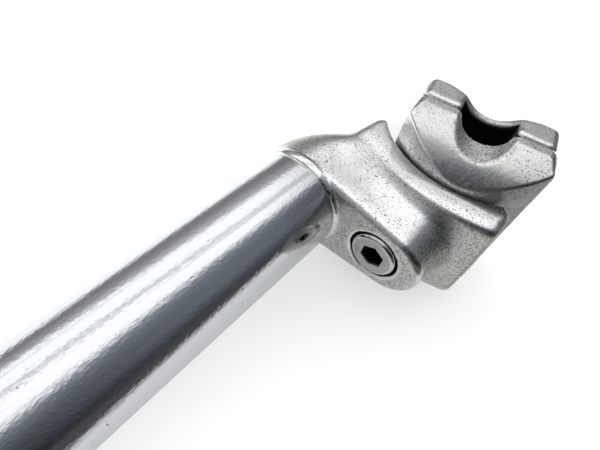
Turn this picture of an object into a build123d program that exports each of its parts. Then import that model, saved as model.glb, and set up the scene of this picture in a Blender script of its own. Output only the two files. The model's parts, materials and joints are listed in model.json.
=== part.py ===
from build123d import *
from math import atan, cos, radians, sin, tan
import os

# Bicycle seatpost: a polished tube, an offset head and a single-bolt saddle clamp.
# The pieces are modelled with the tube upright: X forward, Y to the left, Z up the tube,
# and Z = 0 where the tube meets the head. They are then laid on their side, as the post
# comes to rest on a table: on the clamp's lips and the tube's lower end.

# Tube
tube_diameter = 27.2
tube_wall = 2.4
tube_length = 200.0
tube_end_chamfer = 0.8

# Head: rim, neck and bolt boss, with a spigot bonded into the tube
spigot_length = 32.0
bond_gap = 0.02
rim_overhang = 0.6
rim_height = 3.0
rim_rounding = 1.0
neck_overhang = 0.5
bolt_face_height = 1.2
bolt_setback = 26.1
boss_radius = 10.5
boss_beyond_bolt = 2.9
boss_edge_rounding = 2.5
neck_waist_height = 13.5
neck_waist_inset = 0.4
neck_waist_setback = 0.9
neck_top_drop = 3.4
neck_top_radius = 14.4
neck_top_inset = 0.4

# Bowl: the toothed cradle seat on top of the head
bowl_floor_height = 21.1
bowl_radius = 26.4
bowl_width = 31.0
bowl_floor = 7.4
bowl_front_angle = 52.0
bowl_rear_angle = 42.0
bowl_rear_land = 3.4
rear_face_height = 9.1
rear_land_drop = 1.4
bowl_corner_rounding = 1.3
horn_thickness = 2.4
horn_fall = 0.8
horn_height = 11.2
horn_flare = 1.2
horn_rounding = 1.6
horn_foot_rounding = 3.0
bowl_edge_rounding = 1.7
neck_blend = 5.0
tooth_angle = 2.8
tooth_depth = 0.45
tooth_band_width = 28.0
cradle_gap = 0.5

# Clamp bolt, washer and barrel nut
bolt_diameter = 8.0
bolt_beyond_nut = 0.2
bolt_head_diameter = 13.0
bolt_head_height = 8.0
bolt_head_chamfer = 0.9
bolt_head_proud = 0.5
socket_width = 6.0
socket_depth = 5.0
washer_diameter = 14.0
washer_thickness = 1.5
washer_gap = 0.25
counterbore_gap = 0.25
bolt_hole_gap = 0.4
thread_gap = 0.03
nut_diameter = 12.0
nut_length = 19.0
nut_chamfer = 0.2

# Saddle clamp: its tilt about the bowl's axis, its rails and its two halves
clamp_tilt = 13.3
tilt_reach = 18.0
clamp_width = 53.0
rail_diameter = 7.0
rail_gap = 0.05
rail_spacing = 43.5
rail_drop = 9.8
parting_gap = 0.9
cradle_length = 38.5
cradle_end_rounding = 3.2
cradle_lip_height = 3.2
cradle_floor_width = 30.6
cradle_side_bulge = 2.0
cradle_edge_rounding = 0.7
cradle_waist_length = 15.0
cradle_waist_depth = 4.5
cradle_waist_rounding = 2.0
pocket_length = 25.0
pocket_width = 37.0
pocket_floor = 8.0
pocket_corner = 4.0
plate_length = 36.8
plate_top_drop = 0.75
plate_corner = 2.5
plate_waist_length = 16.0
plate_waist_depth = 3.5
plate_waist_rounding = 4.0
plate_dip = 1.1
plate_dip_length = 15.0
plate_bridge_thickness = 2.8
plate_bridge_length = 15.0
plate_bridge_rounding = 1.5
plate_edge_rounding = 0.8
plate_lip_chamfer = 0.9
nut_pocket_gap = 0.3
nut_seat_wall = 2.0

# Values worked out from the sizes above
tube_radius = tube_diameter / 2
bore_radius = tube_radius - tube_wall
neck_waist_radius = tube_radius - neck_waist_inset
bowl_height = bowl_floor_height + bowl_radius
bowl_axis = Vector(-bolt_setback, 0, bowl_height)
bolt_axis_plane = Plane(origin=(-bolt_setback, 0, 0))
bolt_radius = bolt_diameter / 2
bolt_hole_radius = bolt_radius + bolt_hole_gap
bolt_face_low = bolt_face_height - bolt_head_proud
bolt_seat = bolt_face_low + bolt_head_height
bolt_tip = bowl_height + nut_diameter / 2 + bolt_beyond_nut
counterbore_radius = washer_diameter / 2 + counterbore_gap
counterbore_depth = bolt_seat + washer_thickness - bolt_face_height
cradle_radius = bowl_radius - cradle_gap
rail_radius = rail_diameter / 2 + rail_gap
rail_y = rail_spacing / 2
cradle_top = -rail_drop - parting_gap / 2
plate_bottom = -rail_drop + parting_gap / 2
plate_top = -plate_top_drop
lip_low = cradle_top - cradle_lip_height
well_beyond = 4 * tube_diameter

# Clamp planes through the tilt axis: side (forward, up), plan (forward, left), end (left, up)
forward = Vector(cos(radians(clamp_tilt)), 0, -sin(radians(clamp_tilt)))
upward = Vector(sin(radians(clamp_tilt)), 0, cos(radians(clamp_tilt)))
leftward = Vector(0, 1, 0)
head_side = Plane(origin=bowl_axis, x_dir=(1, 0, 0), z_dir=-leftward)
clamp_side = Plane(origin=bowl_axis, x_dir=forward, z_dir=-leftward)
clamp_plan = Plane(origin=bowl_axis, x_dir=forward, z_dir=upward)
clamp_end = Plane(origin=bowl_axis, x_dir=leftward, z_dir=forward)
clamp_up = Axis(bowl_axis, upward)


def below(radius, angle):
    """A point at this radius below an axis, swung forward by this angle."""
    return (radius * sin(radians(angle)), -radius * cos(radians(angle)))


def toothed_arc(crest_radius, valley_radius):
    """The points of a row of teeth half-way around an axis, from the rear to the front."""
    teeth = round(180 / tooth_angle)
    step = 180 / teeth
    points = []
    for tooth in range(teeth):
        points.append(below(valley_radius, tooth * step - 90))
        points.append(below(crest_radius, (tooth + 0.5) * step - 90))
    points.append(below(valley_radius, 90))
    return points


def waist_radius(length, depth):
    """The radius of an arc that cuts this deep over this length."""
    return (length ** 2 / 4 + depth ** 2) / (2 * depth)


# Tube: open at its lower end, closed by the head's spigot at the top
with BuildPart() as post_tube:
    with BuildSketch(Plane.XY):
        Circle(tube_radius)
        Circle(bore_radius, mode=Mode.SUBTRACT)
    extrude(amount=-tube_length)
    chamfer(post_tube.edges().group_by(Axis.Z)[0], tube_end_chamfer)

# Bowl block: a curved wall across the head, with rounded corners and a rounded lower edge
rear_top = Vector(*below(bowl_radius, -bowl_rear_angle))
rear_face_top = rear_top - Vector(bowl_rear_land, rear_land_drop)
horn_top = Vector(*below(bowl_radius, bowl_front_angle))
horn_shoulder = horn_top + Vector(horn_thickness, -horn_fall)
horn_foot = horn_shoulder + Vector(horn_flare, -horn_height)
with BuildPart() as bowl_block:
    with BuildSketch(head_side) as bowl_profile:
        with BuildLine():
            land = Polyline(rear_top, rear_face_top, rear_face_top - Vector(0, rear_face_height))
            ThreePointArc(land @ 1, (0, -bowl_radius - bowl_floor), horn_foot)
            Polyline(horn_foot, horn_shoulder, horn_top)
            ThreePointArc(horn_top, (0, -bowl_radius), rear_top)
        make_face()
        fillet(bowl_profile.vertices().sort_by(Axis.X)[-1:], horn_foot_rounding)
        fillet(bowl_profile.vertices().sort_by(Axis.Y)[-2:], horn_rounding)
        fillet(bowl_profile.vertices().sort_by(Axis.X)[:3], bowl_corner_rounding)
    extrude(amount=bowl_width / 2, both=True)
    bowl_sides = bowl_block.faces().filter_by(Plane.XZ)
    fillet(bowl_sides.edges(), bowl_edge_rounding)

# Head: the rim on the tube, a neck that leans back to the bolt boss and ends in the bowl's front
neck_top_height = bowl_height + horn_shoulder.Y - neck_top_drop
neck_top_x = horn_shoulder.X - bolt_setback - neck_top_inset - neck_top_radius
neck_sections = (
    (bolt_face_height, tube_radius + neck_overhang, 0),
    (neck_waist_height, neck_waist_radius, -neck_waist_setback),
    (neck_top_height, neck_top_radius, neck_top_x),
)
with BuildPart() as post_head:
    for height, radius, neck_x in neck_sections:
        with BuildSketch(Plane.XY.offset(height)):
            with Locations((neck_x, 0)):
                Circle(radius)
            with Locations((-bolt_setback - boss_beyond_bolt, 0)):
                Circle(boss_radius)
            make_hull()
    loft()
    fillet(post_head.edges().group_by(Axis.Z)[0], boss_edge_rounding)
    with BuildSketch(head_side):
        Circle(bowl_radius + bowl_floor / 2)
    extrude(amount=well_beyond, both=True, mode=Mode.SUBTRACT)
    add(bowl_block.part)
    fillet(post_head.edges(Select.NEW), neck_blend)
    with BuildSketch(Plane.XZ) as rim_section:
        Rectangle(tube_radius + rim_overhang, rim_height, align=Align.MIN)
        fillet(rim_section.vertices().group_by(Axis.X)[-1], rim_rounding)
    revolve(axis=Axis.Z)
    with BuildSketch(Plane.XY):
        Circle(bore_radius - bond_gap)
    extrude(amount=-spigot_length)
    with BuildSketch(head_side):
        with BuildLine():
            teeth = Polyline(*toothed_arc(bowl_radius, bowl_radius + tooth_depth))
            Line(teeth @ 1, teeth @ 0)
        make_face()
    extrude(amount=tooth_band_width / 2, both=True, mode=Mode.SUBTRACT)
    with Locations(bolt_axis_plane.offset(bolt_face_height)):
        with Locations(Location((0, 0, 0), (180, 0, 0))):
            CounterBoreHole(bolt_hole_radius, counterbore_radius, counterbore_depth, bowl_height)

# Bolt: a socket-head cap screw that points up through the clamp
with BuildPart() as clamp_bolt:
    with BuildSketch(bolt_axis_plane.offset(bolt_face_low)):
        Circle(bolt_head_diameter / 2)
    extrude(amount=bolt_head_height)
    chamfer(clamp_bolt.edges().group_by(Axis.Z)[0], bolt_head_chamfer)
    with BuildSketch(bolt_axis_plane.offset(bolt_seat)):
        Circle(bolt_radius)
    extrude(amount=bolt_tip - bolt_seat)
    chamfer(clamp_bolt.edges().group_by(Axis.Z)[-1], bolt_head_chamfer)
    with BuildSketch(bolt_axis_plane.offset(bolt_face_low)):
        RegularPolygon(socket_width / 2, 6, major_radius=False)
    extrude(amount=socket_depth, mode=Mode.SUBTRACT)

# Washer: between the bolt's head and the floor of its counterbore
with BuildPart() as bolt_washer:
    with BuildSketch(bolt_axis_plane.offset(bolt_seat)):
        Circle(washer_diameter / 2)
        Circle(bolt_radius + washer_gap, mode=Mode.SUBTRACT)
    extrude(amount=washer_thickness)

# Barrel nut: lies across the clamp on the bowl's axis, so that the clamp can tilt around it
with BuildPart() as barrel_nut:
    with BuildSketch(head_side):
        Circle(nut_diameter / 2)
    extrude(amount=nut_length / 2, both=True)
    chamfer(barrel_nut.edges().filter_by(GeomType.CIRCLE), nut_chamfer)
    with BuildSketch(bolt_axis_plane.offset(bowl_height)):
        Circle(bolt_radius + thread_gap)
    extrude(amount=nut_diameter, both=True, mode=Mode.SUBTRACT)


def slot_length(depth):
    """The length of a slot that clears the bolt at this depth below the axis, over the whole tilt."""
    return 2 * (depth * tan(radians(tilt_reach)) + bolt_hole_radius / cos(radians(tilt_reach)))


# Rails: the two round tunnels that both halves of the clamp leave open
with BuildPart() as rail_tunnels:
    with BuildSketch(clamp_end):
        with Locations((-rail_y, -rail_drop), (rail_y, -rail_drop)):
            Circle(rail_radius)
    extrude(amount=cradle_length, both=True)

# Cradle: the clamp's lower half, hull-shaped, with a toothed underside and an open middle
with BuildPart() as lower_cradle:
    with BuildSketch(clamp_end):
        with BuildLine():
            half = clamp_width / 2
            floor_half = cradle_floor_width / 2
            top = Line((-half, cradle_top), (half, cradle_top))
            right = Line(top @ 1, (half, lip_low))
            right_hull = SagittaArc(right @ 1, (floor_half, -bowl_radius), cradle_side_bulge)
            bottom = Line(right_hull @ 1, (-floor_half, -bowl_radius))
            left_hull = SagittaArc(bottom @ 1, (-half, lip_low), cradle_side_bulge)
            Line(left_hull @ 1, top @ 0)
        make_face()
    extrude(amount=cradle_length / 2, both=True)
    with BuildSketch(clamp_plan) as cradle_plan:
        Rectangle(cradle_length, clamp_width)
        fillet(cradle_plan.vertices(), cradle_end_rounding)
        waist = waist_radius(cradle_waist_length, cradle_waist_depth)
        waist_y = clamp_width / 2 - cradle_waist_depth + waist
        with Locations((0, -waist_y), (0, waist_y)):
            Circle(waist, mode=Mode.SUBTRACT)
        waist_corners = cradle_plan.vertices().filter_by_position(Axis.X, -waist, waist)
        fillet(waist_corners, cradle_waist_rounding)
    extrude(amount=-well_beyond, mode=Mode.INTERSECT)
    fillet(lower_cradle.faces().sort_by(clamp_up)[-1].edges(), cradle_edge_rounding)
    with BuildSketch(clamp_side):
        Circle(cradle_radius)
    extrude(amount=well_beyond, both=True, mode=Mode.INTERSECT)
    with BuildSketch(clamp_side):
        Circle(bowl_radius)
        with BuildLine():
            teeth = Polyline(*toothed_arc(cradle_radius, cradle_radius - tooth_depth))
            Line(teeth @ 1, teeth @ 0)
        make_face(mode=Mode.SUBTRACT)
        Rectangle(2 * bowl_radius, -2 * lip_low, mode=Mode.SUBTRACT)
    extrude(amount=tooth_band_width / 2, both=True, mode=Mode.SUBTRACT)
    add(rail_tunnels.part, mode=Mode.SUBTRACT)
    with BuildSketch(clamp_plan.offset(cradle_top)) as pocket_plan:
        Rectangle(pocket_length, pocket_width)
        fillet(pocket_plan.vertices(), pocket_corner)
    extrude(amount=-(cradle_radius + cradle_top - pocket_floor), mode=Mode.SUBTRACT)
    with BuildSketch(clamp_plan):
        SlotOverall(slot_length(cradle_radius), 2 * bolt_hole_radius)
    extrude(amount=-well_beyond, mode=Mode.SUBTRACT)

# Bridges: the channels under the plate's waist, outside the nut's seat
with BuildPart() as bridge_channels:
    with BuildSketch(clamp_side) as bridge_section:
        with Locations((0, plate_top - plate_dip - plate_bridge_thickness)):
            Rectangle(plate_bridge_length, rail_drop, align=(Align.CENTER, Align.MAX))
        fillet(bridge_section.vertices().group_by(Axis.Y)[-1], plate_bridge_rounding)
    extrude(amount=clamp_width, both=True)
    with BuildSketch(clamp_side):
        Rectangle(well_beyond, well_beyond)
    extrude(amount=nut_length / 2 + nut_pocket_gap + nut_seat_wall, both=True, mode=Mode.SUBTRACT)

# Plate: the clamp's upper half, waisted between its wings, with a seat for the nut on top
with BuildPart() as upper_clamp:
    with BuildSketch(clamp_plan.offset(plate_bottom)) as plate_plan:
        Rectangle(plate_length, clamp_width)
        fillet(plate_plan.vertices(), plate_corner)
        waist = waist_radius(plate_waist_length, plate_waist_depth)
        waist_y = clamp_width / 2 - plate_waist_depth + waist
        with Locations((0, -waist_y), (0, waist_y)):
            Circle(waist, mode=Mode.SUBTRACT)
        waist_corners = plate_plan.vertices().filter_by_position(Axis.X, -waist, waist)
        fillet(waist_corners, plate_waist_rounding)
    extrude(amount=plate_top - plate_bottom)
    fillet(upper_clamp.faces().sort_by(clamp_up)[-1].edges(), plate_edge_rounding)
    chamfer(upper_clamp.faces().sort_by(clamp_up)[0].edges(), plate_lip_chamfer)
    with BuildSketch(clamp_side):
        dip = waist_radius(plate_dip_length, plate_dip)
        with Locations((0, plate_top - plate_dip + dip)):
            Circle(dip)
    extrude(amount=clamp_width, both=True, mode=Mode.SUBTRACT)
    add(rail_tunnels.part, mode=Mode.SUBTRACT)
    add(bridge_channels.part, mode=Mode.SUBTRACT)
    with BuildSketch(clamp_side):
        Circle(nut_diameter / 2 + nut_pocket_gap)
    extrude(amount=nut_length / 2 + nut_pocket_gap, both=True, mode=Mode.SUBTRACT)
    with BuildSketch(clamp_plan):
        SlotOverall(slot_length(rail_drop), 2 * bolt_hole_radius)
    extrude(amount=-well_beyond, mode=Mode.SUBTRACT)

# The floor touches the cradle's lip along its whole length and the tube at its lower end
lower_end = Vector(0, 0, -tube_length)
lip_reach = -(lower_end - bowl_axis).dot(upward) + lip_low
lie_angle = atan((clamp_width / 2 - tube_radius) / lip_reach)
floor_up = leftward * cos(lie_angle) + upward * sin(lie_angle)
along_floor = Vector(0, 0, 1) - floor_up * floor_up.Z
floor = Plane(origin=(0, 0, 0), x_dir=along_floor, z_dir=floor_up)

pieces = {
    "post_tube": post_tube,
    "post_head": post_head,
    "clamp_bolt": clamp_bolt,
    "bolt_washer": bolt_washer,
    "barrel_nut": barrel_nut,
    "lower_cradle": lower_cradle,
    "upper_clamp": upper_clamp,
}
laid = Compound(children=[floor.to_local_coords(piece.part) for piece in pieces.values()])
box = laid.bounding_box()
rest = Location((-box.center().X, -box.center().Y, -box.min.Z)) * floor.location.inverse()

os.makedirs("parts", exist_ok=True)
for name, piece in pieces.items():
    resting = piece.part.moved(rest)
    resting.label = name
    export_step(resting, f"parts/{name}.step")
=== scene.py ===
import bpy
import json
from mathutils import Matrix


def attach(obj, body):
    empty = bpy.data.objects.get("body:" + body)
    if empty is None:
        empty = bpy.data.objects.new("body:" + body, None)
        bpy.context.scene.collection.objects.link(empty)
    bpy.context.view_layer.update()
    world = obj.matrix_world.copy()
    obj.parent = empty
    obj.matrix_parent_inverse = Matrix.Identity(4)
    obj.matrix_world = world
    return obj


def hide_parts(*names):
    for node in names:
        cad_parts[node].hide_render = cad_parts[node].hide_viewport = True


bl_info = {
    "name": "Bicycle seatpost",
    "version": (1, 0, 0),
    "blender": (4, 5, 0),
    "location": "View3D > Sidebar > Seatpost",
    "description": "Dresses a packed bicycle seatpost in worn polished, cast and steel finishes",
    "category": "Object",
}

import json
import math

import bpy
import numpy as np
from bpy.props import FloatProperty, FloatVectorProperty, IntProperty, PointerProperty
from mathutils import Matrix, Vector

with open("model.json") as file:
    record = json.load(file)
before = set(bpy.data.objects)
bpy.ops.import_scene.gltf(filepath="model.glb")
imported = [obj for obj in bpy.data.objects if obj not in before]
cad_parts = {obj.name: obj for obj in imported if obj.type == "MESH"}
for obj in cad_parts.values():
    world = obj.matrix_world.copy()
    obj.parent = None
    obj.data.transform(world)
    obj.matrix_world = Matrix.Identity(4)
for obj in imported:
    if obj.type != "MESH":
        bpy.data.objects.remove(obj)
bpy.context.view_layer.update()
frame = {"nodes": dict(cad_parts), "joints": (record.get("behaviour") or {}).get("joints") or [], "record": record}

MM = 0.001
MOUNTS = {mount["name"]: mount for mount in frame["record"]["mounts"]}
TILT = frame["joints"][0]
SHANK = MOUNTS["shank"]
TUBE_LENGTH = 0.2


def frame_matrix(x_axis, y_axis, z_axis, origin):
    """The placement whose axes are these three directions, at this origin."""
    turn = Matrix((x_axis, y_axis, z_axis)).transposed()
    return Matrix.Translation(origin) @ turn.to_4x4()


# The post's own axes (forward, left, up the tube) with Z = 0 where the tube meets the head,
# and the clamp's axes about the line that it tilts on
TUBE_UP = -Vector(SHANK["axis"]).normalized()
TUBE_TOP = Vector(SHANK["pos_m"]) + TUBE_UP * TUBE_LENGTH / 2
POST_LEFT = Vector(TILT["axis"]).normalized()
POST_FORWARD = POST_LEFT.cross(TUBE_UP)
POST_FRAME = frame_matrix(POST_FORWARD, POST_LEFT, TUBE_UP, TUBE_TOP)
TILT_CENTRE = Vector(TILT["pos_m"])
CLAMP_FORWARD = Vector(MOUNTS["rail_left"]["axis"]).normalized()
CLAMP_UP = CLAMP_FORWARD.cross(POST_LEFT)
CLAMP_FRAME = frame_matrix(CLAMP_FORWARD, POST_LEFT, CLAMP_UP, TILT_CENTRE)
BOLT_SETBACK = -(POST_FRAME.inverted() @ TILT_CENTRE).x

# Mesh work: edges that are bevelled or shaded smooth, welding in metres, and smoothing passes
BEVEL_ANGLE = math.radians(45)
SMOOTH_ANGLE = math.radians(33)
WELD = 0.000001
SMOOTHING = 0.5
WEIGHT_STEPS = 10
NORMAL_PASSES = 2
BEND_PASSES = 6

# Limits of masks. The first of a pair is where the mask is 0, the second where it is 1, so a mask
# whose first limit is the larger one fades out. Bends are in 1 / mm.
# Convex edges are painted bright: partly real wear, partly painted highlight
WEAR_HIGHLIGHT_BEND = (0.04, 0.20)
# Concave corners are painted dark, as painted shade
SHADE_BEND = (0.10, 0.60)

# Colours that wear, dirt, painted highlights and painted shade mix into the metals
SCUFF_GREY = (0.50, 0.52, 0.55)
SPECK_BLACK = (0.04, 0.04, 0.04)
CLOUD_GREY = (0.50, 0.50, 0.50)
MOTTLE_GREY = (0.30, 0.30, 0.295)
SAND_DARK = (0.10, 0.098, 0.092)
SAND_LIGHT = (0.92, 0.92, 0.90)
# Bright edges: partly real wear, partly painted highlight
WEAR_HIGHLIGHT_BRIGHT = (0.94, 0.94, 0.93)
RIM_BRIGHT = (0.72, 0.72, 0.71)
STAIN_BROWN = (0.20, 0.18, 0.16)
# Painted shade in the bolt's socket
SOCKET_SHADE = (0.012, 0.012, 0.012)

# Stretch of patterns along an axis, and the depth in metres of a relief whose height is 1
DRAWN_STRETCH = (1.0, 1.0, 0.02)
HAIRLINE_STRETCH = (1.0, 1.0, 0.006)
RING_STRETCH = (0.12, 0.12, 1.0)
WAVE_STRETCH = (1.0, 1.0, 0.75)
RIPPLE_STRETCH = (1.0, 1.0, 0.5)
BRUSHED_STRETCH = (1.0, 0.10, 0.25)
TUBE_RELIEF = 0.000010
CAST_RELIEF = 0.000060
BOLT_RELIEF = 0.000020

# The bolt's finish, in metres from its axis and in from its face, and its turned rings in radians
# to a metre
# The first three bound the socket, which is painted dark as painted shade
SOCKET_EDGE = (0.00352, 0.00345)
SOCKET_MOUTH = (0.0002, 0.0008)
SOCKET_FLOOR = (0.0056, 0.0052)
BRIGHT_RIM = (0.0053, 0.0057)
TURNED_RINGS = 42000.0

# The room that reflections show, by its lean from straight up, in degrees, positive towards the
# post's back: a pale wall in front, a wide light overhead and a dark wall behind
ROOM_LIGHT = (
    (-180, 0.80), (-60, 0.80), (-14, 0.88), (1, 0.88), (16, 0.82), (21, 0.50), (27, 0.19), (40, 0.14),
    (54, 0.12), (63, 0.13), (72, 0.09), (84, 0.05), (94, 0.05), (130, 0.45), (180, 0.80),
)
# What darkens it. Lean is in radians here, and x is the part of a direction that runs up the tube.
WALL_LEAN, WALL_X, WALL_SHADE = (0.45, 1.15), (0.55, -0.40), 0.80
HEAD_END_X, HEAD_END_SHADE = (0.60, 0.92), 0.70
FOOT_END_X, FOOT_END_SHADE = (-0.28, -0.68), 0.62
# A dark band in the front wall that widens up the tube, paler towards its top
BAND_LEAN, BAND_WIDTH, BAND_FLARE, BAND_LEAST = -1.10, 0.24, 0.27, 0.10
BAND_EDGE, BAND_SHADE = (1.25, 0.80), 0.80
BAND_TOP, BAND_TOP_GAIN = (-0.3, 0.9), 0.20
# A dimmer stripe across the light overhead, at a slant
STRIPE_LEAN, STRIPE_SLANT, STRIPE_EDGE, STRIPE_SHADE = -0.294, 0.244, (0.10, 0.045), 0.45
# Dark parts of the room are a little blue
COOL_LEVEL, COOL_LEAN, COOL_TINT = (0.50, 0.04), (-0.60, 0.30), (0.80, 0.88, 1.0)
WHITE = (1.0, 1.0, 1.0)

# The table: grey in reflections as painted shade, nearly black there beyond a slanted line behind the
# post as a painted shadow, and pale for every ray in front of it as painted light
TABLE_MIRRORED_SHADE = (0.50, 0.50, 0.495)
TABLE_PAINTED_SHADOW = (0.05, 0.05, 0.05)
TABLE_PAINTED_LIGHT = (0.94, 0.94, 0.93)
TABLE_SHADOW_LINE, TABLE_SHADOW_SLANT = (-0.066, -0.026), 0.55
TABLE_LIGHT_LINE = (0.02, 0.06)
CLIP_START = 0.001


class TubeSettings(bpy.types.PropertyGroup):
    """Sizes and colours of the polished tube."""

    length: FloatProperty(name="Length", description="Length of the tube below the head",
                          default=TUBE_LENGTH, subtype="DISTANCE", unit="LENGTH")
    wall: FloatProperty(name="Wall", description="Thickness of the tube's wall",
                        default=0.0024, subtype="DISTANCE", unit="LENGTH", precision=4)
    end_bevel: FloatProperty(name="End bevel", description="Rounding of the tube's two ends",
                             default=0.00045, subtype="DISTANCE", unit="LENGTH", precision=5)
    facets: IntProperty(name="Facets", description="Sides around the tube", default=256)
    polish: FloatVectorProperty(name="Polish", description="Colour of the polished metal",
                                default=(0.84, 0.87, 0.90), subtype="COLOR", min=0, max=1)


class CastingSettings(bpy.types.PropertyGroup):
    """Sizes and colours of the cast head and clamp."""

    grain: FloatProperty(name="Mesh grain", description="Size of the mesh's cells on cast pieces",
                         default=0.00036, subtype="DISTANCE", unit="LENGTH", precision=5)
    softening: IntProperty(name="Softening", description="Smoothing passes over cast edges", default=5)
    blending: IntProperty(name="Blending", default=130,
                          description="Smoothing passes over the head's forms and the upper half's rim")
    hull_softening: IntProperty(name="Hull softening", default=24,
                                description="Smoothing passes over the lower half's hull")
    hollow_spread: IntProperty(name="Hollow spread", default=60,
                               description="Cells by which a filled hollow spreads")
    hollow_filling: IntProperty(name="Hollow filling", default=360,
                                description="Smoothing passes over the head's hollows")
    polished: FloatVectorProperty(name="Polished", description="Colour where the casting is polished",
                                  default=(0.93, 0.93, 0.925), subtype="COLOR", min=0, max=1)
    polished_cradle: FloatVectorProperty(name="Polished cradle",
                                         description="Colour of the lower half's hull",
                                         default=(0.74, 0.74, 0.73), subtype="COLOR", min=0, max=1)
    # The head's raw skin is darker than the lower half's: partly its own tone, partly painted shade on the head's
    # underside
    raw_head_and_shade: FloatVectorProperty(name="Raw head", description="Colour where the head is left raw",
                                  default=(0.48, 0.475, 0.445), subtype="COLOR", min=0, max=1)
    raw_cradle: FloatVectorProperty(name="Raw cradle",
                                    description="Colour where the lower half is left raw",
                                    default=(0.68, 0.675, 0.66), subtype="COLOR", min=0, max=1)
    satin: FloatVectorProperty(name="Satin", description="Colour of the satin upper clamp",
                               default=(0.65, 0.65, 0.635), subtype="COLOR", min=0, max=1)
    # Its dark is painted shade in hollows, corners, pockets and on the teeth, and the pits' own dark
    grime: FloatVectorProperty(name="Painted shade and pits", description="Colour of the dirt in hollows and pits",
                               default=(0.012, 0.012, 0.012), subtype="COLOR", min=0, max=1)


class BoltSettings(bpy.types.PropertyGroup):
    """Sizes and colours of the clamp bolt."""

    head_radius: FloatProperty(name="Head radius", description="Radius of the bolt's head",
                               default=0.0065, subtype="DISTANCE", unit="LENGTH", precision=5)
    head_height: FloatProperty(name="Head height", description="Height of the bolt's head",
                               default=0.008, subtype="DISTANCE", unit="LENGTH", precision=5)
    shank_radius: FloatProperty(name="Shank radius", description="Radius of the bolt's shank",
                                default=0.004, subtype="DISTANCE", unit="LENGTH", precision=5)
    length: FloatProperty(name="Length", description="Length of the whole bolt",
                          default=0.053, subtype="DISTANCE", unit="LENGTH")
    facets: IntProperty(name="Facets", description="Sides around the bolt", default=96)
    rim: FloatProperty(name="Rim", description="Rounding of the head's rim",
                       default=0.0011, subtype="DISTANCE", unit="LENGTH", precision=5)
    edge: FloatProperty(name="Edge", description="Rounding of the bolt's other edges",
                        default=0.00012, subtype="DISTANCE", unit="LENGTH", precision=5)
    socket_width: FloatProperty(name="Socket", description="Width of the hexagon socket across its flats",
                                default=0.006, subtype="DISTANCE", unit="LENGTH", precision=5)
    socket_depth: FloatProperty(name="Socket depth", description="Depth of the hexagon socket",
                                default=0.0048, subtype="DISTANCE", unit="LENGTH", precision=5)
    face: FloatProperty(name="Face", description="Height of the head's face above the tube's end",
                        default=0.0007, subtype="DISTANCE", unit="LENGTH", precision=5)
    steel: FloatVectorProperty(name="Steel", description="Colour of the bolt's steel",
                               default=(0.50, 0.50, 0.49), subtype="COLOR", min=0, max=1)


class StageSettings(bpy.types.PropertyGroup):
    """The camera, the table and the light."""

    eye: FloatVectorProperty(name="Eye", description="The camera's place in the post's axes", subtype="XYZ",
                             unit="LENGTH", default=(-0.03928, 0.09006, -0.06603), precision=5)
    look: FloatVectorProperty(name="Look", description="The camera's direction in the post's axes",
                              subtype="XYZ", default=(0.2863, -0.7953, 0.5344))
    up: FloatVectorProperty(name="Up", description="The picture's upward direction in the post's axes",
                            subtype="XYZ", default=(0.5983, 0.5840, 0.5486))
    lens: FloatProperty(name="Lens", description="Focal length on a 36 mm wide sensor", default=25.8,
                        subtype="DISTANCE_CAMERA")
    table: FloatProperty(name="Table", description="Width of the table", default=3.0,
                         subtype="DISTANCE", unit="LENGTH")
    table_white: FloatVectorProperty(name="Table white", description="Colour of the table",
                                     default=(0.85, 0.85, 0.845), subtype="COLOR", min=0, max=1)
    glow: FloatProperty(name="Table glow", description="Light that the table adds to its own white",
                        default=0.08)
    room: FloatProperty(name="Room light", description="Strength of the room in reflections", default=1.35)
    lamp: FloatProperty(name="Lamp", description="Power of the soft lamp over the table", default=2.0,
                        subtype="POWER", unit="POWER")
    lamp_place: FloatVectorProperty(name="Lamp place", description="The lamp's place", subtype="XYZ",
                                    unit="LENGTH", default=(-0.35, -0.28, 0.45))
    lamp_size: FloatProperty(name="Lamp size", description="Width of the lamp", default=0.25,
                             subtype="DISTANCE", unit="LENGTH")


class Value:
    """An output socket of a node tree. Arithmetic on it adds Math nodes."""

    def __init__(self, nodes, socket):
        self.nodes = nodes
        self.socket = socket

    def _math(self, operation, *terms):
        return self.nodes.make("ShaderNodeMath", {"operation": operation}, dict(enumerate(terms)))

    def __add__(self, other):
        return self._math("ADD", self, other)

    __radd__ = __add__

    def __sub__(self, other):
        return self._math("SUBTRACT", self, other)

    def __rsub__(self, other):
        return self._math("SUBTRACT", other, self)

    def __mul__(self, other):
        return self._math("MULTIPLY", self, other)

    __rmul__ = __mul__

    def __truediv__(self, other):
        return self._math("DIVIDE", self, other)

    def __pow__(self, other):
        return self._math("POWER", self, other)

    def ramp(self, start, full):
        """0 at start and before it, 1 at full and past it, with a smooth step between them."""
        return self.nodes.make("ShaderNodeMapRange", {"interpolation_type": "SMOOTHSTEP"},
                               {"Value": self, "From Min": start, "From Max": full})

    def band(self, start, full):
        """1 within full of zero, on both sides, and 0 from start outwards."""
        return self.ramp(-start, -full) * self.ramp(start, full)

    def smaller(self, other):
        return self._math("MINIMUM", self, other)

    def larger(self, other):
        return self._math("MAXIMUM", self, other)


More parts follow.
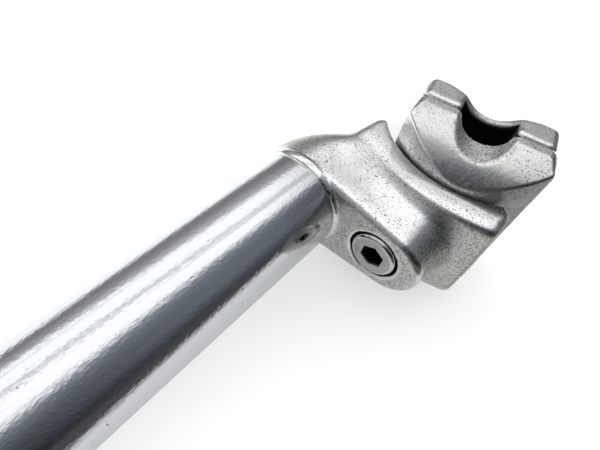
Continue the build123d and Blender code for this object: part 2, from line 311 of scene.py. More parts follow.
class Nodes:
    """Adds nodes to one node tree."""

    def __init__(self, tree):
        self.tree = tree
        tree.nodes.clear()

    def make(self, kind, settings=None, inputs=None, output=0):
        """A node of this kind, with its settings made first and then its sockets filled or linked.
        output is the socket to return, or a tuple of several."""
        node = self.tree.nodes.new(kind)
        for name, setting in (settings or {}).items():
            if name == "stops":
                self._set_stops(node.color_ramp, setting)
            else:
                setattr(node, name, setting)
        for name, value in (inputs or {}).items():
            if isinstance(value, Value):
                self.tree.links.new(value.socket, node.inputs[name])
            else:
                node.inputs[name].default_value = value
        if isinstance(output, tuple):
            return tuple(Value(self, node.outputs[name]) for name in output)
        return Value(self, node.outputs[output]) if node.outputs else node

    @staticmethod
    def _set_stops(ramp, stops):
        ramp.interpolation = "LINEAR"
        while len(ramp.elements) < len(stops):
            ramp.elements.new(1.0)
        for element, (position, level) in zip(ramp.elements, stops):
            element.position = position
            element.color = (level, level, level, 1.0)

    def mix(self, factor, low, high):
        """Two colours mixed by a factor."""
        settings = {"data_type": "RGBA", "clamp_factor": True}
        return self.make("ShaderNodeMix", settings, {0: factor, 6: low, 7: high}, output=2)

    def noise(self, place, scale, detail=2.0, roughness=0.5):
        """A noise value between 0 and 1, about 0.5. scale is in patches to a metre."""
        return self.make("ShaderNodeTexNoise", {"noise_dimensions": "3D"},
                         {"Vector": place, "Scale": scale, "Detail": detail, "Roughness": roughness})

    def attribute(self, name):
        """A number that the mesh carries at each point."""
        return self.make("ShaderNodeAttribute", {"attribute_name": name}, output="Fac")

    def parts(self, vector):
        """The X, Y and Z of a vector."""
        return self.make("ShaderNodeSeparateXYZ", {}, {"Vector": vector}, output=("X", "Y", "Z"))

    def rays(self):
        """Whether a ray comes from the camera, from a reflection or through glass."""
        return self.make("ShaderNodeLightPath",
                         output=("Is Camera Ray", "Is Glossy Ray", "Is Transmission Ray"))


def colour(rgb):
    """A colour as a socket takes it."""
    return (*rgb, 1.0)


def local_place(nodes, placement, stretch=(1.0, 1.0, 1.0)):
    """Object coordinates turned into the axes of this placement, then stretched."""
    place = nodes.make("ShaderNodeTexCoord", output="Object")
    turned = nodes.make("ShaderNodeMapping", {"vector_type": "TEXTURE"},
                        {"Vector": place, "Location": placement.translation,
                         "Rotation": placement.to_euler()})
    return nodes.make("ShaderNodeVectorMath", {"operation": "MULTIPLY"}, {0: turned, 1: stretch})


def dots(nodes, place, cells, size, share):
    """Small round spots: 1 inside a spot. cells is how many there are to a metre, size the largest spot's
    radius in cells, and share how many cells have one."""
    near, tint = nodes.make("ShaderNodeTexVoronoi", {"feature": "F1", "voronoi_dimensions": "3D"},
                            {"Vector": place, "Scale": cells, "Randomness": 1.0},
                            output=("Distance", "Color"))
    chance, spread = nodes.make("ShaderNodeSeparateColor", {}, {"Color": tint}, output=("Red", "Green"))
    radius = (spread * 0.75 + 0.25) * size
    inside = (near / radius).ramp(1.0, 0.6)
    chosen = (chance - share).ramp(0.0, -0.02)
    return inside * chosen


def new_material(name):
    """A material with an empty node tree."""
    material = bpy.data.materials.new(name)
    material.use_nodes = True
    return material, Nodes(material.node_tree)


def metal_surface(nodes, base, roughness, height, relief):
    """Ends a material in a metal whose colour, roughness and relief are given."""
    bump = nodes.make("ShaderNodeBump", {}, {"Height": height, "Distance": relief, "Strength": 1.0})
    shader = nodes.make("ShaderNodeBsdfPrincipled", {}, {"Base Color": base, "Roughness": roughness,
                                                         "Metallic": 1.0, "Normal": bump})
    nodes.make("ShaderNodeOutputMaterial", {}, {"Surface": shader})


def polished_tube_material(settings):
    """Mirror polish with drawn lines along the tube, scuffs around it and a few dark specks."""
    material, nodes = new_material("polished_aluminium")
    even = local_place(nodes, POST_FRAME)
    along = local_place(nodes, POST_FRAME, DRAWN_STRETCH)
    drawn = nodes.noise(along, scale=2600.0, detail=3.0, roughness=0.6)
    broad = nodes.noise(along, scale=420.0)
    hairlines = nodes.noise(local_place(nodes, POST_FRAME, HAIRLINE_STRETCH), scale=1700.0)
    ring_lines = nodes.noise(local_place(nodes, POST_FRAME, RING_STRETCH), scale=2400.0, roughness=0.6)
    patches = nodes.noise(even, scale=95.0, detail=3.0, roughness=0.6)
    waves = nodes.noise(local_place(nodes, POST_FRAME, WAVE_STRETCH), scale=1300.0, detail=3.0,
                        roughness=0.6)
    ripples = nodes.noise(local_place(nodes, POST_FRAME, RIPPLE_STRETCH), scale=2600.0, roughness=0.6)
    scuffed = patches.ramp(0.58, 0.70) * ring_lines.ramp(0.52, 0.64)
    scratched = drawn.ramp(0.60, 0.74) * broad.ramp(0.42, 0.62)
    hair = hairlines.ramp(0.60, 0.70)
    speck = dots(nodes, even, cells=520.0, size=0.15, share=0.20) * patches.ramp(0.42, 0.56)
    dulled = scuffed * 0.25 + scratched * 0.35 + hair * 0.35 + waves.ramp(0.55, 0.75) * 0.15
    base = nodes.mix(dulled, colour(settings.polish), colour(SCUFF_GREY))
    base = nodes.mix(speck, base, colour(SPECK_BLACK))
    rough = 0.050 + scuffed * 0.20 + scratched * 0.12 + hair * 0.14
    rough = rough + waves.ramp(0.45, 0.75) * 0.06 + speck * 0.5
    height = drawn * 0.8 + scuffed * 0.3 + waves * 4.6 + ripples * 1.3
    height = height + broad * 1.2 - hair * 0.5 - speck * 2.0
    metal_surface(nodes, base, rough, height, TUBE_RELIEF)
    return material


def casting_material(name, settings, placement, bright, raw_colour, shine, pit_share):
    """Cast aluminium: polished or raw as its mesh says, worn and painted bright at edges as painted highlight,
    painted dark in hollows as painted shade, and pitted.
    shine is the roughness where it is polished."""
    material, nodes = new_material(name)
    place = local_place(nodes, placement)
    raw = nodes.attribute("raw_skin")
    worn = nodes.attribute("worn_edge")
    grime = nodes.attribute("grime")
    clouds = nodes.noise(place, scale=80.0, detail=3.0, roughness=0.6)
    peel = nodes.noise(place, scale=300.0)
    mottle = nodes.noise(place, scale=1000.0, detail=4.0, roughness=0.65)
    sand = nodes.noise(place, scale=2000.0, detail=3.0, roughness=0.7)
    lines = nodes.noise(local_place(nodes, placement, BRUSHED_STRETCH), scale=2200.0)
    crowd = (clouds.ramp(0.40, 0.60) * 0.85 + raw * 0.5 + 0.15).smaller(1.0)
    fine = dots(nodes, place, cells=2100.0, size=0.40, share=pit_share * 2.0)
    medium = dots(nodes, place, cells=900.0, size=0.22, share=pit_share * 0.8)
    large = dots(nodes, place, cells=380.0, size=0.12, share=pit_share * 0.15)
    pits = fine.larger(medium).larger(large) * crowd * (1.0 - worn * 0.7)
    base = nodes.mix(raw, colour(bright), colour(raw_colour))
    base = nodes.mix(clouds.ramp(0.45, 0.75) * 0.16, base, colour(CLOUD_GREY))
    base = nodes.mix(mottle.ramp(0.46, 0.72) * (0.13 + raw * 0.22), base, colour(MOTTLE_GREY))
    base = nodes.mix(sand.ramp(0.49, 0.62) * (0.12 + raw * 0.60), base, colour(SAND_DARK))
    base = nodes.mix(sand.ramp(0.46, 0.36) * raw * 0.60, base, colour(SAND_LIGHT))
    # Edges are painted bright: partly real wear, partly painted highlight
    base = nodes.mix(worn * 0.85, base, colour(WEAR_HIGHLIGHT_BRIGHT))
    # Hollows are painted dark as painted shade; the pits take the same dark
    base = nodes.mix((grime + pits * 0.85).smaller(1.0), base, colour(settings.grime))
    rough = shine + raw * 0.26 + (mottle - 0.5) * 0.16 + (clouds - 0.5) * 0.12 - worn * 0.20
    rough = (rough + pits * 0.4 + grime * 0.4 + lines.ramp(0.58, 0.72) * 0.06).larger(0.08)
    height = peel * 1.2 * (1.0 - raw) + mottle * 0.5 + sand * (0.10 + raw * 0.50)
    height = height + lines * 0.10 - pits * 1.6
    metal_surface(nodes, base, rough, height, CAST_RELIEF)
    return material


def bolt_material(settings, placement):
    """Plated steel, turned in rings, with a bright rim and a socket painted dark as painted shade."""
    material, nodes = new_material("plated_steel")
    place = local_place(nodes, placement)
    x, y, z = nodes.parts(place)
    radius = (x * x + y * y) ** 0.5
    rings = nodes.make("ShaderNodeMath", {"operation": "SINE"}, {0: radius * TURNED_RINGS})
    mottle = nodes.noise(place, scale=900.0, detail=3.0, roughness=0.6)
    stain = nodes.noise(place, scale=320.0, detail=3.0)
    in_socket = radius.ramp(*SOCKET_EDGE) * z.ramp(*SOCKET_MOUTH) * z.ramp(*SOCKET_FLOOR)
    rim = radius.ramp(*BRIGHT_RIM)
    base = nodes.mix(rim, colour(settings.steel), colour(RIM_BRIGHT))
    base = nodes.mix(stain.ramp(0.50, 0.72) * (1.0 - rim) * 0.45, base, colour(STAIN_BROWN))
    # The socket is painted dark, as painted shade
    base = nodes.mix(in_socket, base, colour(SOCKET_SHADE))
    rough = 0.30 - rim * 0.12 + (mottle - 0.5) * 0.20 + in_socket * 0.4
    height = rings * 0.25 * (1.0 - rim) + mottle * 0.8
    metal_surface(nodes, base, rough, height, BOLT_RELIEF)
    return material


def deselect_all():
    """Leaves nothing selected, in object mode."""
    if bpy.context.object and bpy.context.object.mode != "OBJECT":
        bpy.ops.object.mode_set(mode="OBJECT")
    bpy.ops.object.select_all(action="DESELECT")


def only(piece):
    """Selects this piece alone and makes it active."""
    deselect_all()
    piece.select_set(True)
    bpy.context.view_layer.objects.active = piece


def apply_modifier(piece, kind, **settings):
    """Adds a modifier with these settings and applies it."""
    only(piece)
    modifier = piece.modifiers.new(kind.lower(), kind)
    for name, setting in settings.items():
        setattr(modifier, name, setting)
    bpy.ops.object.modifier_apply(modifier=modifier.name)


def settle(piece, placement):
    """Moves a piece from its own axes into the part's, with its place kept in its mesh."""
    only(piece)
    piece.matrix_world = placement @ piece.matrix_world
    bpy.ops.object.transform_apply(location=True, rotation=True, scale=True)


def finish_piece(piece, body, nodes, material):
    """Gives a piece its material, hangs it on the body it rides on, and hides the CAD nodes that it stands for."""
    piece.data.materials.clear()
    piece.data.materials.append(material)
    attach(piece, body)
    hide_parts(*nodes)


def cast_copy(name, node, settings):
    """A copy of a CAD node as a casting: one even mesh with softened edges."""
    deselect_all()
    piece = bpy.data.objects.new(name, frame["nodes"][node].data.copy())
    bpy.context.scene.collection.objects.link(piece)
    only(piece)
    bpy.ops.object.mode_set(mode="EDIT")
    bpy.ops.mesh.select_all(action="SELECT")
    bpy.ops.mesh.remove_doubles(threshold=WELD)
    bpy.ops.object.mode_set(mode="OBJECT")
    apply_modifier(piece, "REMESH", mode="VOXEL", voxel_size=settings.grain, use_smooth_shade=True)
    apply_modifier(piece, "SMOOTH", factor=SMOOTHING, iterations=settings.softening)
    only(piece)
    bpy.ops.object.shade_smooth()
    return piece


def soften(piece, weights, passes):
    """Smooths a mesh by this many passes, as far as each point's weight lets it."""
    group = piece.vertex_groups.new(name="soft")
    steps = np.rint(weights * WEIGHT_STEPS).astype(int)
    for step in range(1, WEIGHT_STEPS + 1):
        group.add(np.flatnonzero(steps == step).tolist(), step / WEIGHT_STEPS, "REPLACE")
    apply_modifier(piece, "SMOOTH", factor=SMOOTHING, iterations=passes, vertex_group=group.name)
    piece.vertex_groups.clear()


def mesh_arrays(piece):
    """The points, normals and edges of a mesh as arrays."""
    mesh = piece.data
    points = np.empty(len(mesh.vertices) * 3, np.float32)
    mesh.vertices.foreach_get("co", points)
    normals = np.empty(len(mesh.vertices) * 3, np.float32)
    mesh.vertex_normals.foreach_get("vector", normals)
    edges = np.empty(len(mesh.edges) * 2, np.int32)
    mesh.edges.foreach_get("vertices", edges)
    return points.reshape(-1, 3), normals.reshape(-1, 3), edges.reshape(-1, 2)


def neighbour_mean(values, edges):
    """Each point's mean over the points that share an edge with it."""
    here = np.concatenate((edges[:, 0], edges[:, 1]))
    there = np.concatenate((edges[:, 1], edges[:, 0]))
    count = np.maximum(np.bincount(here, minlength=len(values)), 1)
    columns = values.reshape(len(values), -1).T
    totals = [np.bincount(here, weights=column[there], minlength=len(values)) for column in columns]
    return (np.array(totals) / count).T.reshape(values.shape)


def smooth_step(values, start, full):
    """0 at start and before it, 1 at full and past it, smooth between."""
    t = np.clip((values - start) / (full - start), 0.0, 1.0)
    return t * t * (3.0 - 2.0 * t)


def largest(*masks):
    """The largest of several masks at each point."""
    return np.maximum.reduce(masks)


def carry(piece, name, values):
    """Stores a number at each point of a mesh."""
    layer = piece.data.attributes.new(name, "FLOAT", "POINT")
    layer.data.foreach_set("value", np.ascontiguousarray(values, dtype=np.float32))


def bend_of(points, normals, edges):
    """How sharply the surface bends at each point: positive on edges, negative in corners, in 1 / mm."""
    for _ in range(NORMAL_PASSES):
        normals = neighbour_mean(normals, edges)
    offset = points - neighbour_mean(points, edges)
    step = np.linalg.norm(points[edges[:, 0]] - points[edges[:, 1]], axis=1).mean()
    bend = np.einsum("ij,ij->i", offset, normals) / step ** 2 * MM
    for _ in range(BEND_PASSES):
        bend = neighbour_mean(bend, edges)
    return bend


def in_axes(placement, points):
    """The X, Y and Z of points in the axes of this placement, in millimetres."""
    turn = np.array(placement.inverted())
    return ((points @ turn[:3, :3].T + turn[:3, 3]) / MM).T


def directions_in_axes(placement, normals):
    """The X, Y and Z of directions in the axes of this placement."""
    return (normals @ np.array(placement)[:3, :3]).T


class SEATPOST_OT_tube(bpy.types.Operator):
    """Model the polished tube"""

    bl_idname = "seatpost.tube"
    bl_label = "Polished tube"

    def execute(self, context):
        settings = context.scene.seatpost_tube
        radius = SHANK["dims"]["r_mm"] * MM
        deselect_all()
        bpy.ops.mesh.primitive_cylinder_add(vertices=settings.facets, radius=radius, depth=settings.length,
                                            end_fill_type="NOTHING",
                                            location=(0.0, 0.0, -settings.length / 2))
        tube = context.object
        tube.name = "polished_tube"
        bpy.ops.object.transform_apply(location=True, rotation=True, scale=True)
        apply_modifier(tube, "SOLIDIFY", thickness=settings.wall, offset=-1.0, use_even_offset=True)
        apply_modifier(tube, "BEVEL", width=settings.end_bevel, segments=3, limit_method="ANGLE",
                       angle_limit=BEVEL_ANGLE)
        only(tube)
        bpy.ops.object.shade_smooth_by_angle(angle=SMOOTH_ANGLE)
        settle(tube, POST_FRAME)
        finish_piece(tube, "post", ["post_tube"], polished_tube_material(settings))
        return {"FINISHED"}


class SEATPOST_OT_head(bpy.types.Operator):
    """Model the cast head"""

    bl_idname = "seatpost.head"
    bl_label = "Cast head"

    # Limits of masks: up from the tube's end and out from the bowl's axis in mm, bends, and parts of a
    # normal. Then the strength of what they mark.
    CLEAR_OF_TUBE = (2.6, 5.0)
    CLEAR_OF_BOWL = (26.9, 28.2)
    HOLLOW_BEND = (0.004, 0.03)
    HOLLOW_SHARE = (0.05, 0.30)
    FACING_DOWN, DOWN_UP = (0.55, 0.90), (0.3, 0.9)
    FACING_FRONT, FRONT_UP = (-0.05, 0.35), (2.0, 6.0)
    FACING_BACK, BACK_UP = (0.25, 0.75), (2.0, 5.0)
    # The last is the strength of the painted shade in concave corners
    RAW_BELOW, RAW_FRONT, CORNER_GRIME = 0.6, 0.6, 0.5

    def execute(self, context):
        settings = context.scene.seatpost_casting
        head = cast_copy("cast_head", "post_head", settings)
        free = self.clear_of_fits(head)
        soften(head, free, settings.blending)
        points, normals, edges = mesh_arrays(head)
        hollow = smooth_step(-bend_of(points, normals, edges), *self.HOLLOW_BEND)
        for _ in range(settings.hollow_spread):
            hollow = neighbour_mean(hollow, edges)
        soften(head, free * smooth_step(hollow, *self.HOLLOW_SHARE), settings.hollow_filling)
        self.mark_finish(head)
        # The head's raw colour is partly painted shade on its underside
        material = casting_material("cast_aluminium_head", settings, POST_FRAME, settings.polished,
                                    settings.raw_head_and_shade, shine=0.21, pit_share=0.42)
        finish_piece(head, "post", ["post_head"], material)
        return {"FINISHED"}

    def clear_of_fits(self, head):
        """1 where the head may be softened, away from the tube and the bowl that the clamp sits in."""
        points = mesh_arrays(head)[0]
        up = in_axes(POST_FRAME, points)[2]
        x, _, z = in_axes(CLAMP_FRAME, points)
        return smooth_step(up, *self.CLEAR_OF_TUBE) * smooth_step(np.hypot(x, z), *self.CLEAR_OF_BOWL)

    def mark_finish(self, head):
        """Marks raw skin below, in front and behind, edges painted bright as wear and painted highlight, and
        corners painted dark as painted shade.
        """
        points, normals, edges = mesh_arrays(head)
        up = in_axes(POST_FRAME, points)[2]
        facing_front, _, facing_up = directions_in_axes(POST_FRAME, normals)
        bend = bend_of(points, normals, edges)
        below = smooth_step(-facing_up, *self.FACING_DOWN) * smooth_step(up, *self.DOWN_UP)
        front = smooth_step(facing_front, *self.FACING_FRONT) * smooth_step(up, *self.FRONT_UP)
        back = smooth_step(-facing_front, *self.FACING_BACK) * smooth_step(up, *self.BACK_UP)
        carry(head, "raw_skin", largest(below * self.RAW_BELOW, front * self.RAW_FRONT, back))
        # Convex edges are painted bright: partly real wear, partly painted highlight
        carry(head, "worn_edge", smooth_step(bend, *WEAR_HIGHLIGHT_BEND))
        # Concave corners are painted dark, as painted shade
        carry(head, "grime", smooth_step(-bend, *SHADE_BEND) * self.CORNER_GRIME)


class SEATPOST_OT_cradle(bpy.types.Operator):
    """Model the lower half of the saddle clamp"""

    bl_idname = "seatpost.cradle"
    bl_label = "Lower clamp half"

    # Limits of masks in mm: depth below the line that the clamp tilts on, reach from it, length forward
    # or back of it and width to either side. Those of facing are parts of a normal. Then the strength of
    # what they mark.
    HULL_DEPTH, HULL_WIDTH, HULL_REACH = (13.6, 15.0), (14.5, 15.5), (25.3, 24.3)
    POCKET_LENGTH, POCKET_WIDTH, POCKET_DEPTH = (13.2, 12.2), (19.4, 18.3), (19.4, 18.4)
    NOTCH_LENGTH, NOTCH_WIDTH, NOTCH_FACING = (8.6, 8.0), (26.4, 26.0), (0.5, 0.3)
    LIP_WIDTH, LIP_DEPTH = (25.9, 26.2), (13.4, 12.6)
    FACING_UP, FACING_DOWN = (0.6, 0.9), (0.80, 0.97)
    TEETH_WIDTH, TEETH_REACH = (15.0, 14.2), (24.6, 25.0)
    FLANK_REACH, FLANK_BACK = (25.2, 25.6), (2.0, 10.0)
    RAW_BELOW, RAW_LIP = 0.5, 0.8
    # Strengths of the painted shade on the teeth, in corners and on the rear flank
    TEETH_GRIME, CORNER_GRIME, FLANK_GRIME = 0.45, 0.4, 0.4

    def execute(self, context):
        settings = context.scene.seatpost_casting
        cradle = cast_copy("rail_cradle", "lower_cradle", settings)
        x, y, z = in_axes(CLAMP_FRAME, mesh_arrays(cradle)[0])
        hull = smooth_step(-z, *self.HULL_DEPTH) * smooth_step(np.abs(y), *self.HULL_WIDTH)
        soften(cradle, hull * smooth_step(np.hypot(x, z), *self.HULL_REACH), settings.hull_softening)
        self.mark_finish(cradle)
        material = casting_material("cast_aluminium_cradle", settings, CLAMP_FRAME,
                                    settings.polished_cradle, settings.raw_cradle,
                                    shine=0.24, pit_share=0.42)
        finish_piece(cradle, "clamp", ["lower_cradle"], material)
        return {"FINISHED"}

    def mark_finish(self, cradle):
        """Marks raw skin on top, below and in the notch, edges painted bright as wear and painted highlight, and
        painted shade inside, on the teeth, in corners and on the rear flank.
        """
        points, normals, edges = mesh_arrays(cradle)
        x, y, z = in_axes(CLAMP_FRAME, points)
        length, width, depth, reach = np.abs(x), np.abs(y), -z, np.hypot(x, z)
        facing_up = directions_in_axes(CLAMP_FRAME, normals)[2]
        bend = bend_of(points, normals, edges)
        top = smooth_step(facing_up, *self.FACING_UP)
        below = smooth_step(-facing_up, *self.FACING_DOWN)
        notch = smooth_step(length, *self.NOTCH_LENGTH) * smooth_step(width, *self.NOTCH_WIDTH)
        notch = notch * smooth_step(np.abs(facing_up), *self.NOTCH_FACING)
        lip = smooth_step(width, *self.LIP_WIDTH) * smooth_step(depth, *self.LIP_DEPTH)
        carry(cradle, "raw_skin", largest(top, below * self.RAW_BELOW, notch, lip * self.RAW_LIP))
        teeth = smooth_step(width, *self.TEETH_WIDTH) * smooth_step(reach, *self.TEETH_REACH)
        # Convex edges are painted bright, partly real wear and partly painted highlight, except on the teeth
        carry(cradle, "worn_edge", smooth_step(bend, *WEAR_HIGHLIGHT_BEND) * (1.0 - teeth))
        # Painted shade in the pocket, on the teeth, in corners and on the rear flank
        pocket = smooth_step(length, *self.POCKET_LENGTH) * smooth_step(width, *self.POCKET_WIDTH)
        pocket = pocket * smooth_step(depth, *self.POCKET_DEPTH)
        rear_flank = smooth_step(reach, *self.FLANK_REACH) * smooth_step(-x, *self.FLANK_BACK)
        corners = smooth_step(-bend, *SHADE_BEND)
        carry(cradle, "grime", largest(pocket, teeth * self.TEETH_GRIME, corners * self.CORNER_GRIME,
                                       rear_flank * self.FLANK_GRIME))


class SEATPOST_OT_plate(bpy.types.Operator):
    """Model the upper half of the saddle clamp"""

    bl_idname = "seatpost.plate"
    bl_label = "Upper clamp half"

    # Limits of masks, measured as on the lower half
    RIM_LENGTH, RIM_DEPTH = (13.0, 8.5), (7.5, 6.0)
    FACING_DOWN, INNER_WIDTH = (0.2, 0.7), (18.0, 16.0)
    WINDOW_LENGTH, WINDOW_DEPTH = (8.0, 7.4), (4.1, 4.5)
    CHAMFER_STEEP, CHAMFER_FLAT, CHAMFER_WIDTH = (0.30, 0.50), (0.96, 0.88), (24.8, 25.3)
    # Bends of edges painted bright, partly real wear and partly painted highlight
    WEAR_HIGHLIGHT_BEND = (0.06, 0.25)
    # The last is the strength of the painted shade in concave corners
    RAWNESS, CORNER_GRIME = 0.40, 0.4

    def execute(self, context):
        settings = context.scene.seatpost_casting
        plate = cast_copy("rail_plate", "upper_clamp", settings)
        x, _, z = in_axes(CLAMP_FRAME, mesh_arrays(plate)[0])
        rim = smooth_step(np.abs(x), *self.RIM_LENGTH) * smooth_step(-z, *self.RIM_DEPTH)
        soften(plate, rim, settings.blending)
        self.mark_finish(plate)
        material = casting_material("satin_aluminium", settings, CLAMP_FRAME, settings.satin,
                                    settings.satin, shine=0.30, pit_share=0.14)
        finish_piece(plate, "clamp", ["upper_clamp"], material)
        return {"FINISHED"}

    def mark_finish(self, plate):
        """Marks an even skin, edges painted bright as wear and painted highlight, chamfers painted bright as
        painted highlight, and painted shade below and inside.
        """
        points, normals, edges = mesh_arrays(plate)
        x, y, z = in_axes(CLAMP_FRAME, points)
        length, width = np.abs(x), np.abs(y)
        facing_down = -directions_in_axes(CLAMP_FRAME, normals)[2]
        bend = bend_of(points, normals, edges)
        # Faces below and inside, and the waist's window, are painted dark as painted shade
        inner = smooth_step(facing_down, *self.FACING_DOWN) * smooth_step(width, *self.INNER_WIDTH)
        window = smooth_step(length, *self.WINDOW_LENGTH) * smooth_step(-z, *self.WINDOW_DEPTH)
        dark = np.maximum(inner, window)
        # The lower chamfers are painted bright as painted highlight, and convex edges partly as wear
        chamfer = smooth_step(facing_down, *self.CHAMFER_STEEP) * smooth_step(width, *self.CHAMFER_WIDTH)
        chamfer = chamfer * smooth_step(facing_down, *self.CHAMFER_FLAT)
        bright = np.maximum(smooth_step(bend, *self.WEAR_HIGHLIGHT_BEND), chamfer)
        carry(plate, "raw_skin", np.full(len(points), self.RAWNESS))
        carry(plate, "worn_edge", bright * (1.0 - dark))
        carry(plate, "grime", np.maximum(dark, smooth_step(-bend, *SHADE_BEND) * self.CORNER_GRIME))


class SEATPOST_OT_bolt(bpy.types.Operator):
    """Model the clamp bolt, and finish the washer and nut on it"""

    bl_idname = "seatpost.bolt"
    bl_label = "Clamp bolt"

    # Part of a normal along the bolt from which a face counts as an end, and which end is which
    END_FACING = 0.9
    FACE_END, SHANK_END = -1, 1

    def execute(self, context):
        settings = context.scene.seatpost_bolt
        deselect_all()
        bpy.ops.mesh.primitive_cylinder_add(vertices=settings.facets, radius=settings.head_radius,
                                            depth=settings.head_height,
                                            location=(0.0, 0.0, settings.head_height / 2))
        bolt = context.object
        bolt.name = "socket_bolt"
        bpy.ops.object.transform_apply(location=True, rotation=True, scale=True)
        self.shape_head(bolt, settings)
        self.cut_socket(bolt, settings)
        apply_modifier(bolt, "BEVEL", width=settings.edge, segments=2, limit_method="ANGLE",
                       angle_limit=BEVEL_ANGLE)
        only(bolt)
        bpy.ops.object.shade_smooth_by_angle(angle=SMOOTH_ANGLE)
        placement = POST_FRAME @ Matrix.Translation((-BOLT_SETBACK, 0.0, settings.face))
        settle(bolt, placement)
        steel = bolt_material(settings, placement)
        finish_piece(bolt, "post", ["clamp_bolt"], steel)
        for node in ("bolt_washer", "barrel_nut"):
            frame["nodes"][node].data.materials.clear()
            frame["nodes"][node].data.materials.append(steel)
        return {"FINISHED"}

    def select_end(self, bolt, end):
        """Leaves the bolt in edit mode with only the flat face at this end selected."""
        bpy.ops.object.mode_set(mode="EDIT")
        bpy.ops.mesh.select_all(action="DESELECT")
        bpy.ops.object.mode_set(mode="OBJECT")
        for polygon in bolt.data.polygons:
            polygon.select = polygon.normal.z * end > self.END_FACING
        bpy.ops.object.mode_set(mode="EDIT")
        bpy.ops.mesh.select_mode(type="FACE")

    def shape_head(self, bolt, settings):
        """Rounds the head's rim and draws the shank out of its back."""
        only(bolt)
        self.select_end(bolt, self.FACE_END)
        bpy.ops.mesh.region_to_loop()
        bpy.ops.mesh.bevel(offset=settings.rim, segments=5, profile=0.5)
        self.select_end(bolt, self.SHANK_END)
        bpy.ops.mesh.inset(thickness=settings.head_radius - settings.shank_radius)
        shank = settings.length - settings.head_height
        bpy.ops.mesh.extrude_region_move(TRANSFORM_OT_translate={"value": (0.0, 0.0, shank)})
        bpy.ops.object.mode_set(mode="OBJECT")

    @staticmethod
    def cut_socket(bolt, settings):
        """Cuts the hexagon socket into the head's face."""
        deselect_all()
        corner = settings.socket_width / 2 / math.cos(math.radians(30))
        bpy.ops.mesh.primitive_cylinder_add(vertices=6, radius=corner, depth=settings.socket_depth * 2)
        cutter = bpy.context.object
        apply_modifier(bolt, "BOOLEAN", object=cutter, operation="DIFFERENCE", solver="EXACT")
        bpy.data.objects.remove(cutter)


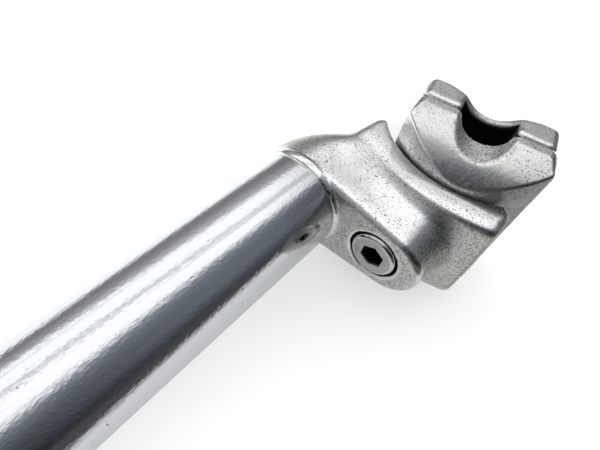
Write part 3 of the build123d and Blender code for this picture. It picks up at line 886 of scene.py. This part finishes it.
class SEATPOST_OT_stage(bpy.types.Operator):
    """Set the table, the light and the camera"""

    bl_idname = "seatpost.stage"
    bl_label = "Stage"

    def execute(self, context):
        settings = context.scene.seatpost_stage
        deselect_all()
        bpy.ops.mesh.primitive_plane_add(size=settings.table)
        table = context.object
        table.name = "table"
        table.data.materials.append(self.table_material(settings))
        self.set_world(context.scene, settings)
        self.set_lamp(context.scene, settings)
        self.set_camera(context.scene, settings)
        context.scene.view_settings.view_transform = "Standard"
        return {"FINISHED"}

    @staticmethod
    def table_material(settings):
        """A table that is white to the camera and keeps the post's shadow. Reflections show a greyer one, painted
        shade, with a painted shadow behind the post, and its front is painted paler for every ray, as painted
        light.
        """
        material, nodes = new_material("white_table")
        x, y, _ = nodes.parts(nodes.make("ShaderNodeTexCoord", output="Object"))
        camera, mirrored, passed = nodes.rays()
        # Beyond a slanted line behind the post, rays other than the camera's see a painted shadow
        lit = (y + x * TABLE_SHADOW_SLANT).ramp(*TABLE_SHADOW_LINE).larger(camera)
        # Rays other than the camera's see a greyer table, as painted shade
        white = nodes.mix(camera, colour(TABLE_MIRRORED_SHADE), colour(settings.table_white))
        white = nodes.mix(lit, colour(TABLE_PAINTED_SHADOW), white)
        # The front is painted paler for every ray, as painted light
        white = nodes.mix(y.ramp(*TABLE_LIGHT_LINE), white, colour(TABLE_PAINTED_LIGHT))
        matte = nodes.make("ShaderNodeBsdfDiffuse", {}, {"Color": white})
        strength = camera.larger(mirrored).larger(passed) * settings.glow * lit
        glow = nodes.make("ShaderNodeEmission", {}, {"Color": colour(WHITE), "Strength": strength})
        both = nodes.make("ShaderNodeAddShader", {}, {0: matte, 1: glow})
        nodes.make("ShaderNodeOutputMaterial", {}, {"Surface": both})
        return material

    @staticmethod
    def set_lamp(scene, settings):
        """A soft lamp that gives the post its shadow on the table, and isn't mirrored in the metal."""
        light = bpy.data.lights.new("soft_lamp", "AREA")
        light.energy = settings.lamp
        light.size = settings.lamp_size
        lamp = bpy.data.objects.new("soft_lamp", light)
        lamp.location = settings.lamp_place
        lamp.rotation_euler = (-Vector(settings.lamp_place)).to_track_quat("-Z", "Y").to_euler()
        lamp.visible_glossy = False
        scene.collection.objects.link(lamp)

    @staticmethod
    def set_world(scene, settings):
        """A plain white dome that lights the scene, and a room in its place for reflections."""
        world = bpy.data.worlds.new("soft_room")
        world.use_nodes = True
        scene.world = world
        nodes = Nodes(world.node_tree)
        x, y, z = nodes.parts(nodes.make("ShaderNodeTexCoord", output="Generated"))
        lean = nodes.make("ShaderNodeMath", {"operation": "ARCTAN2"}, {0: y * -1.0, 1: z})
        stops = [(degrees / 360.0 + 0.5, level) for degrees, level in ROOM_LIGHT]
        room = nodes.make("ShaderNodeValToRGB", {"stops": stops}, {"Fac": lean / (2.0 * math.pi) + 0.5})
        level = nodes.make("ShaderNodeSeparateColor", {}, {"Color": room}, output="Red")
        off_band = (lean - BAND_LEAN) / (x * BAND_FLARE + BAND_WIDTH).larger(BAND_LEAST)
        off_stripe = lean - STRIPE_LEAN - x * STRIPE_SLANT
        shades = (
            lean.ramp(*WALL_LEAN) * x.ramp(*WALL_X) * WALL_SHADE,
            x.ramp(*HEAD_END_X) * HEAD_END_SHADE,
            x.ramp(*FOOT_END_X) * FOOT_END_SHADE,
            off_band.band(*BAND_EDGE) * (BAND_SHADE - off_band.ramp(*BAND_TOP) * BAND_TOP_GAIN),
            off_stripe.band(*STRIPE_EDGE) * STRIPE_SHADE,
        )
        for shade in shades:
            level = level * (1.0 - shade)
        mirrored = nodes.rays()[1]
        strength = level * settings.room * mirrored + (1.0 - mirrored)
        cool = level.ramp(*COOL_LEVEL) * lean.ramp(*COOL_LEAN) * mirrored
        tint = nodes.mix(cool, colour(WHITE), colour(COOL_TINT))
        light = nodes.make("ShaderNodeBackground", {}, {"Color": tint, "Strength": strength})
        nodes.make("ShaderNodeOutputWorld", {}, {"Surface": light})

    @staticmethod
    def set_camera(scene, settings):
        """A camera with the photograph's place, direction and lens."""
        camera = bpy.data.cameras.new("camera")
        camera.lens = settings.lens
        camera.clip_start = CLIP_START
        eye = bpy.data.objects.new("camera", camera)
        scene.collection.objects.link(eye)
        look = Vector(settings.look).normalized()
        right = look.cross(Vector(settings.up)).normalized()
        placement = frame_matrix(right, right.cross(look), -look, Vector(settings.eye))
        eye.matrix_world = POST_FRAME @ placement
        scene.camera = eye


class SEATPOST_PT_pieces(bpy.types.Panel):
    """Lists the seatpost's pieces"""

    bl_idname = "SEATPOST_PT_pieces"
    bl_label = "Seatpost"
    bl_space_type = "VIEW_3D"
    bl_region_type = "UI"
    bl_category = "Seatpost"

    def draw(self, context):
        for operator in OPERATORS:
            self.layout.operator(operator.bl_idname)


SETTINGS = {
    "seatpost_tube": TubeSettings,
    "seatpost_casting": CastingSettings,
    "seatpost_bolt": BoltSettings,
    "seatpost_stage": StageSettings,
}
OPERATORS = (SEATPOST_OT_tube, SEATPOST_OT_head, SEATPOST_OT_cradle, SEATPOST_OT_plate, SEATPOST_OT_bolt,
             SEATPOST_OT_stage)


def register():
    for name, group in SETTINGS.items():
        bpy.utils.register_class(group)
        setattr(bpy.types.Scene, name, PointerProperty(type=group))
    for operator in OPERATORS:
        bpy.utils.register_class(operator)
    bpy.utils.register_class(SEATPOST_PT_pieces)


def unregister():
    bpy.utils.unregister_class(SEATPOST_PT_pieces)
    for operator in reversed(OPERATORS):
        bpy.utils.unregister_class(operator)
    for name, group in reversed(SETTINGS.items()):
        delattr(bpy.types.Scene, name)
        bpy.utils.unregister_class(group)


def main():
    register()
    bpy.ops.seatpost.tube()
    bpy.ops.seatpost.head()
    bpy.ops.seatpost.cradle()
    bpy.ops.seatpost.plate()
    bpy.ops.seatpost.bolt()
    bpy.ops.seatpost.stage()


if __name__ == "__main__":
    main()
